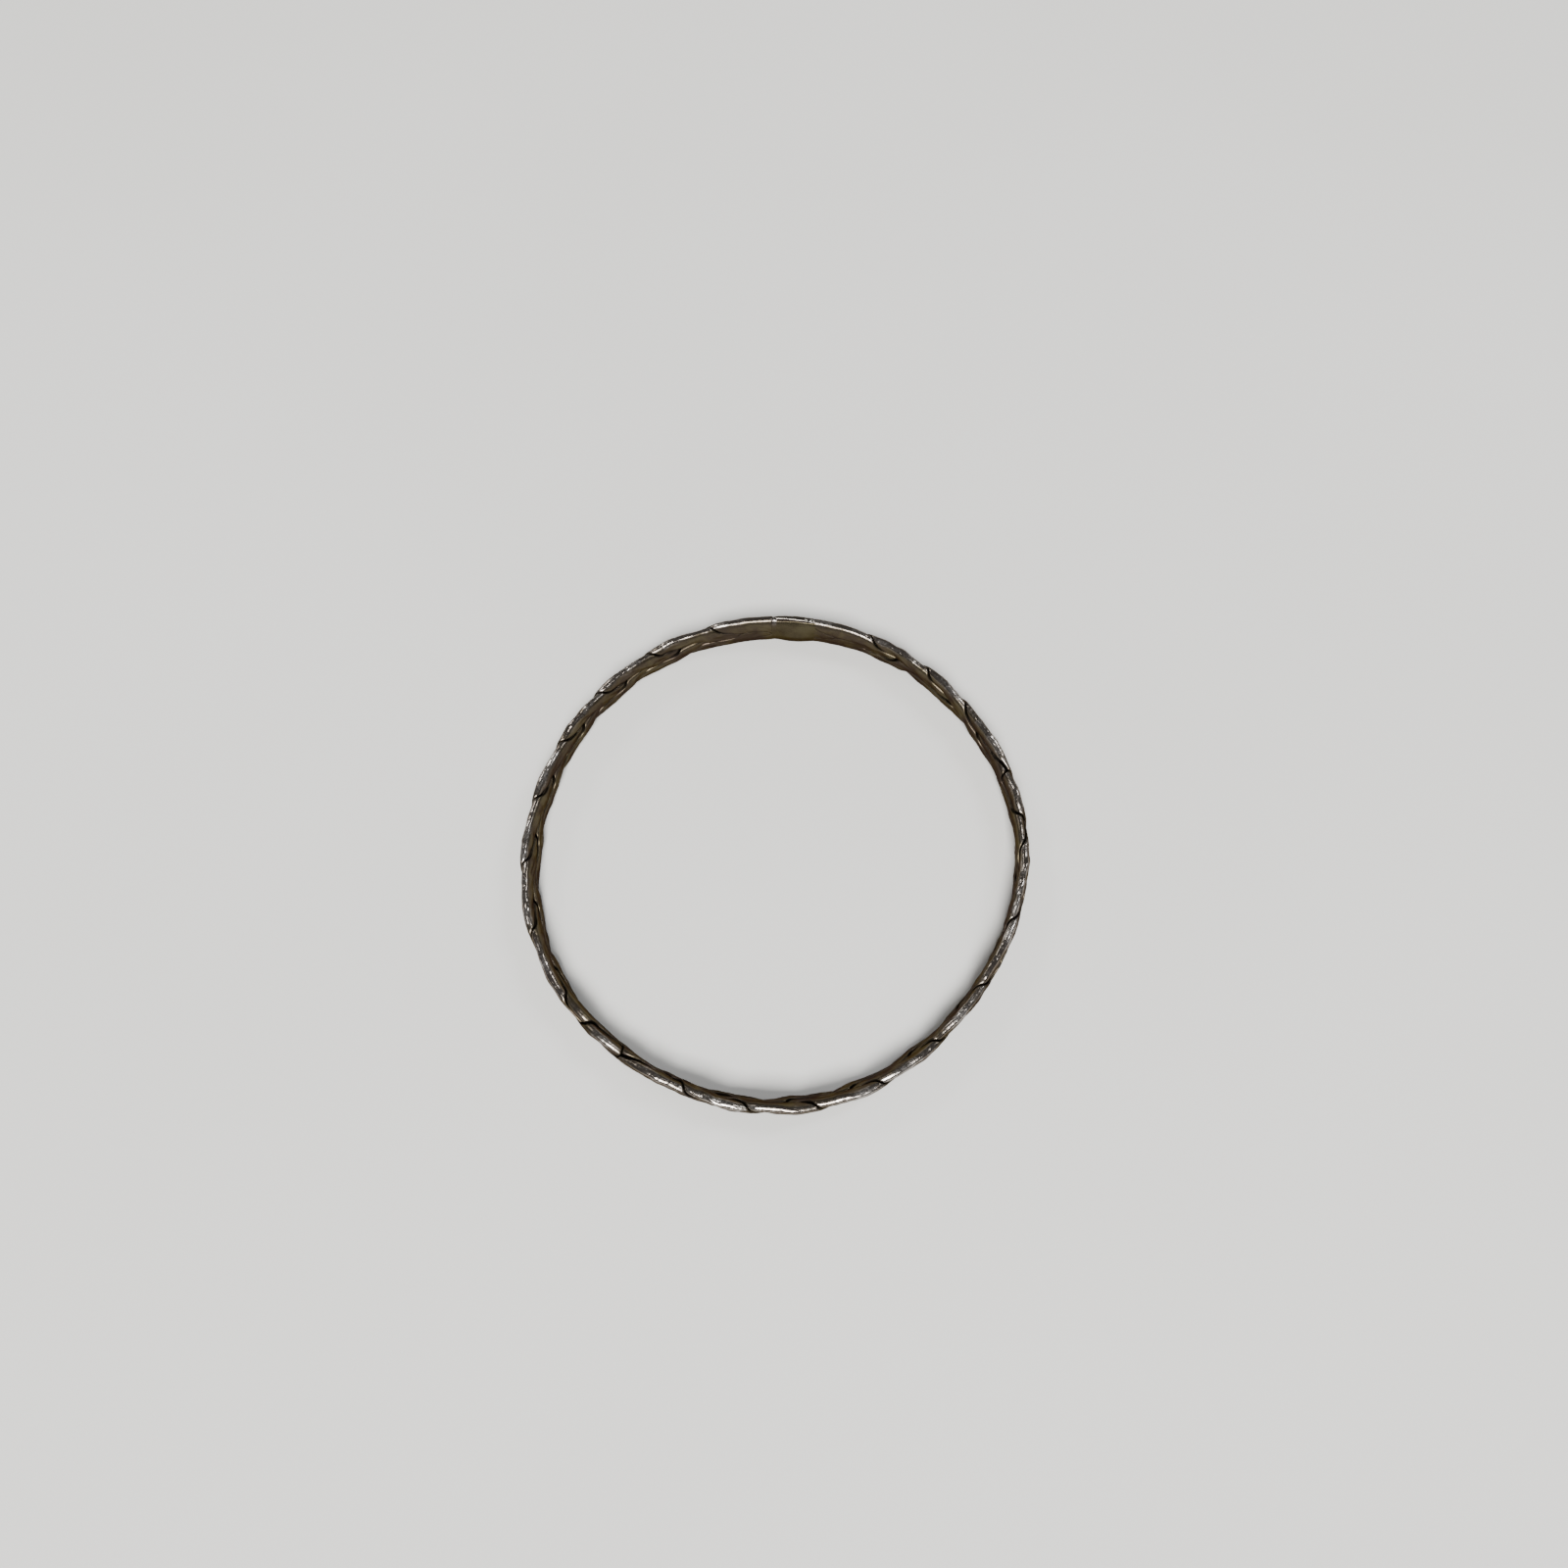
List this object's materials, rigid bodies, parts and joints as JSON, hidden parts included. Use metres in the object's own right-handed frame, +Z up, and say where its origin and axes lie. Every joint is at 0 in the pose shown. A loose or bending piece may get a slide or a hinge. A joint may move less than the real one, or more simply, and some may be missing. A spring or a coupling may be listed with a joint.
{
  "type": "bangle bracelet",
  "caption": "Closed slip-on bangle of flattened wires in a flat plait, joined by a filed solid block with an inner plate.",
  "frame": {"origin": "centre of the bangle's outline on the surface that it lies on", "axes": "+Z up along the ring's axis, +Y towards the closing joint, +X to the right of it as seen from above"},
  "size_m": [0.0688, 0.0692, 0.0053],
  "materials": {
    "plaited_wire": "worn satin silver with dark oxide in the grooves",
    "filed_joint": "filed and tarnished silver",
    "solder": "pale silver solder"
  },
  "bodies": {
    "root": {"wire_1": "plaited_wire", "wire_2": "plaited_wire", "wire_3": "plaited_wire", "joint_block": "filed_joint", "inner_plate": "filed_joint", "solder_seam_a": "solder", "solder_seam_b": "solder"}
  },
  "joints": []
}
